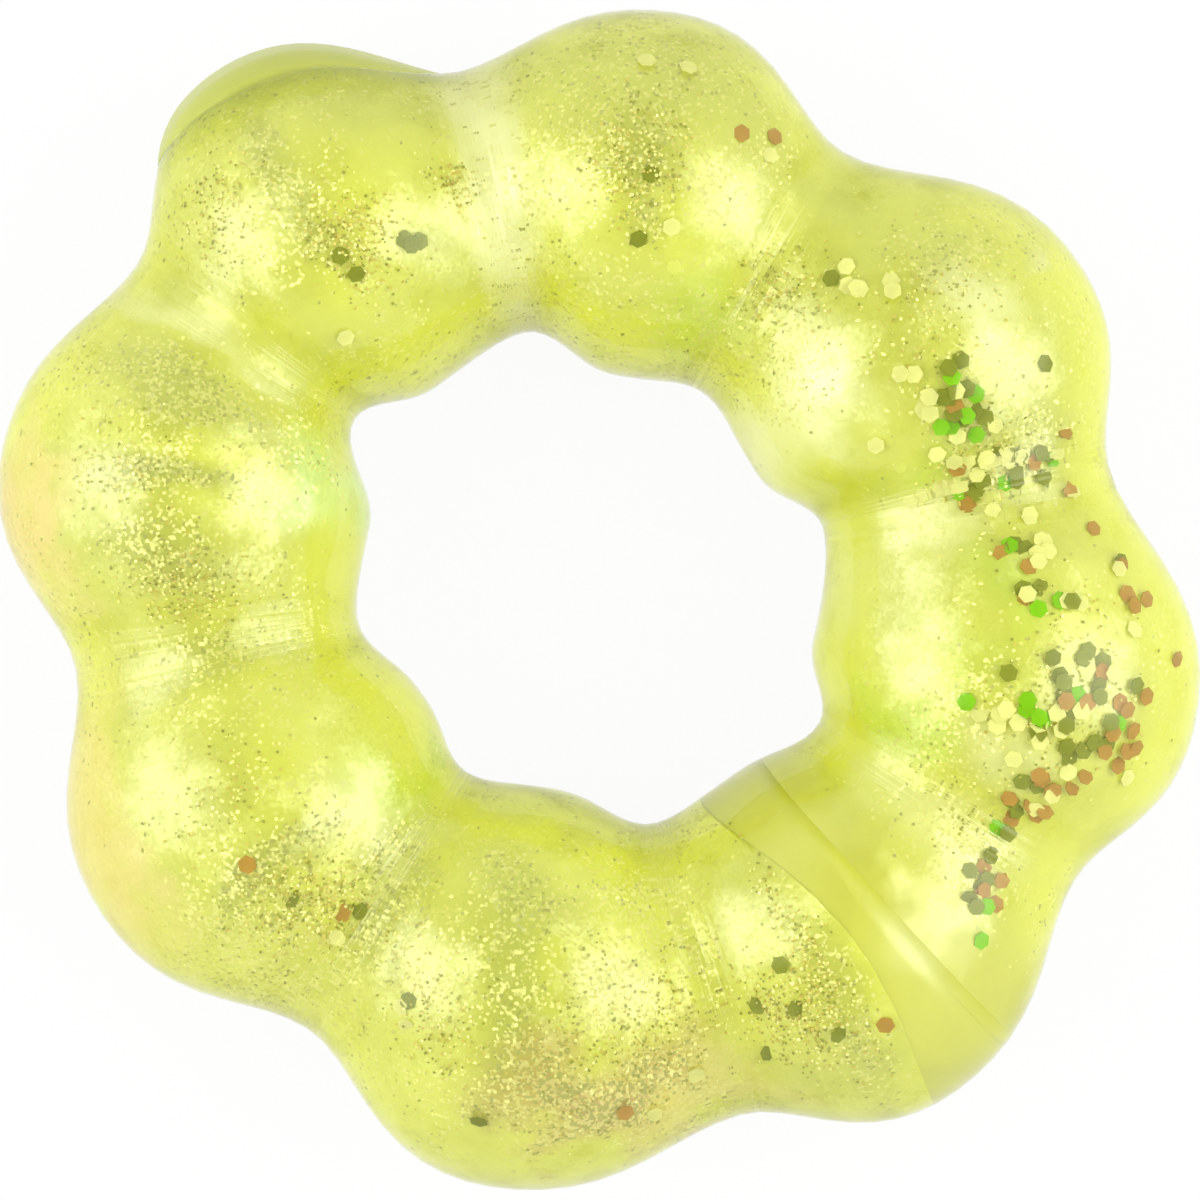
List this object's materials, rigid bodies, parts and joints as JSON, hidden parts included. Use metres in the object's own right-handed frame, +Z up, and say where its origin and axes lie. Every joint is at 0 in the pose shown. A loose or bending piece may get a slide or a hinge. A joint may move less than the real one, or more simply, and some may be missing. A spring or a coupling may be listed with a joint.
{
  "type": "juggling ring",
  "caption": "Soft translucent ring of swollen lobes, a rubber tube filled with clear gel and hexagonal glitter, lying flat.",
  "frame": {"origin": "middle of the ring's bounding box in plan, on the surface that the ring lies on", "axes": "+Z up through the ring's hole; X and Y in the plane of the ring, with the lobe that holds the joint towards +X and -Y and the filler's lobe towards -X and +Y"},
  "size_m": [0.1216, 0.1196, 0.0357],
  "materials": {
    "lime_rubber": "gloss, translucent",
    "plug_rubber": "satin, translucent",
    "gel": "clear gel",
    "olive_film": "metallic film",
    "green_film": "metallic film",
    "copper_film": "metallic film",
    "pale_film": "pearl film",
    "fine_film": "metallic film"
  },
  "bodies": {
    "root": {"skin": "lime_rubber", "joint_plug": "plug_rubber", "filler_plug": "plug_rubber", "gel_fill": "gel", "olive_flakes": "olive_film", "green_flakes": "green_film", "copper_flakes": "copper_film", "pale_flakes": "pale_film", "fine_glitter": "fine_film"}
  },
  "joints": []
}
